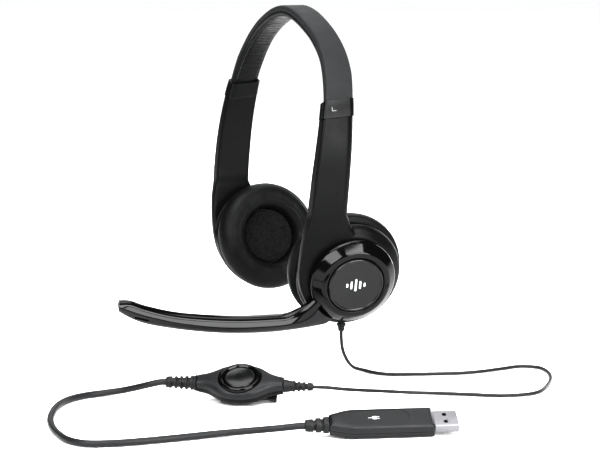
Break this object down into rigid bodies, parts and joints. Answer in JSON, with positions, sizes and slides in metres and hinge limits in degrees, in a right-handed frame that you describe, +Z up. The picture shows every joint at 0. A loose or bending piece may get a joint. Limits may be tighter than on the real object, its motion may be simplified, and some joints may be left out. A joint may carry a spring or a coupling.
{
  "type": "office headset",
  "caption": "Over-head office headset with sliding arms, tilting padded ear cups, swivelling boom microphone, cord controller with clothing clip, and USB plug.",
  "frame": {"origin": "midway between the middle planes of the two ear cushions", "axes": "+Z up along the headband's middle plane, +X to the wearer's left (the boom's side), -Y the way the wearer faces"},
  "size_m": [0.2783, 0.2988, 0.2075],
  "materials": {
    "soft_grey": "soft-touch matt",
    "leatherette": "fine grain",
    "gloss_black": "polished",
    "satin_grey": "satin",
    "scrim_cloth": "open weave",
    "cord_rubber": "matt",
    "steel": "plated",
    "board": "lacquered",
    "film": "clear film",
    "black_plastic": "fine matt texture"
  },
  "bodies": {
    "left_frame": {"arm_cover_left": "black_plastic", "arm_screw_left": "steel", "arm_shell_left": "black_plastic", "clip_pin": "steel", "controller_board": "board", "controller_boot_headset": "cord_rubber", "controller_boot_usb": "cord_rubber", "controller_bottom_shell": "black_plastic", "controller_top_shell": "black_plastic", "cord_strain_relief": "cord_rubber", "headset_cord": "cord_rubber", "hub_disc_left": "satin_grey", "mute_switch": "steel", "plug_board": "board", "plug_boot": "cord_rubber", "plug_bottom_shell": "black_plastic", "plug_top_shell": "black_plastic", "slider_strip_left": "steel", "usb_cord": "cord_rubber", "usb_shell": "steel", "usb_tongue": "black_plastic"},
    "headband": {"end_cap_inner_left": "gloss_black", "end_cap_inner_right": "gloss_black", "end_cap_outer_left": "gloss_black", "end_cap_outer_right": "gloss_black", "headband_cover": "soft_grey", "headband_cushion": "leatherette", "headband_spring": "steel", "headband_wire": "cord_rubber"},
    "right_arm": {"arm_cover_right": "black_plastic", "arm_screw_right": "steel", "arm_shell_right": "black_plastic", "hub_disc_right": "satin_grey", "slider_strip_right": "steel", "trim_ring_right": "gloss_black"},
    "left_gimbal": {"gimbal_ring_left": "black_plastic"},
    "left_cup": {"ear_cushion_left": "leatherette", "ear_scrim_left": "scrim_cloth", "speaker_baffle_left": "black_plastic", "speaker_diaphragm_left": "film", "speaker_driver_left": "steel", "speaker_housing_left": "black_plastic"},
    "right_gimbal": {"gimbal_ring_right": "black_plastic"},
    "right_cup": {"ear_cushion_right": "leatherette", "ear_scrim_right": "scrim_cloth", "speaker_baffle_right": "black_plastic", "speaker_diaphragm_right": "film", "speaker_driver_right": "steel", "speaker_housing_right": "black_plastic"},
    "boom": {"boom_ring_shell": "gloss_black", "boom_lower_shell": "black_plastic", "mic_capsule": "steel", "mic_wire": "cord_rubber"},
    "volume_dial": {"volume_ring": "gloss_black"},
    "mute_key": {"mute_button": "gloss_black"},
    "clip": {"clothing_clip": "black_plastic"}
  },
  "joints": [
    {"name": "left_slider", "type": "slide", "parent": "left_frame", "child": "headband", "axis": [-0.3799, 0.13, 0.9158], "range_m": [0, 0.02]},
    {"name": "right_slider", "type": "slide", "parent": "headband", "child": "right_arm", "axis": [-0.3799, -0.13, -0.9158], "range_m": [0, 0.02]},
    {"name": "boom_turn", "type": "hinge", "parent": "left_frame", "child": "boom", "pos_m": [0.0748, -0.00174, -0.00451], "axis": [0.9586, -0.1024, -0.2656], "range_deg": [-105, 8]},
    {"name": "left_cup_turn", "type": "hinge", "parent": "left_frame", "child": "left_gimbal", "pos_m": [0.07432, -0.00169, -0.00438], "axis": [0.2641, -0.0282, 0.9641], "range_deg": [-4.5, 4.5]},
    {"name": "left_cup_tilt", "type": "hinge", "parent": "left_gimbal", "child": "left_cup", "pos_m": [0.07432, -0.00169, -0.00438], "axis": [0.1063, 0.9943, 0], "range_deg": [-4.5, 4.5]},
    {"name": "right_cup_turn", "type": "hinge", "parent": "right_arm", "child": "right_gimbal", "pos_m": [-0.07432, -0.00169, -0.00438], "axis": [-0.2641, -0.0282, 0.9641], "range_deg": [-4.5, 4.5]},
    {"name": "right_cup_tilt", "type": "hinge", "parent": "right_gimbal", "child": "right_cup", "pos_m": [-0.07432, -0.00169, -0.00438], "axis": [-0.1063, 0.9943, 0], "range_deg": [-4.5, 4.5]},
    {"name": "volume_turn", "type": "hinge", "parent": "left_frame", "child": "volume_dial", "pos_m": [0.08751, -0.07339, -0.05051], "axis": [0.3773, -0.2231, 0.8988], "range_deg": [-140, 140]},
    {"name": "mute_press", "type": "slide", "parent": "left_frame", "child": "mute_key", "axis": [-0.3773, 0.2231, -0.8988], "range_m": [0, 0.0006], "stiffness_N_per_m": 400, "springref_m": -0.0015},
    {"name": "clip_open", "type": "hinge", "parent": "left_frame", "child": "clip", "pos_m": [0.0787, -0.07864, -0.06057], "axis": [-0.7736, 0.4575, 0.4384], "range_deg": [0, 9], "stiffness_Nm_per_rad": 0.08, "springref_deg": -5.73}
  ]
}
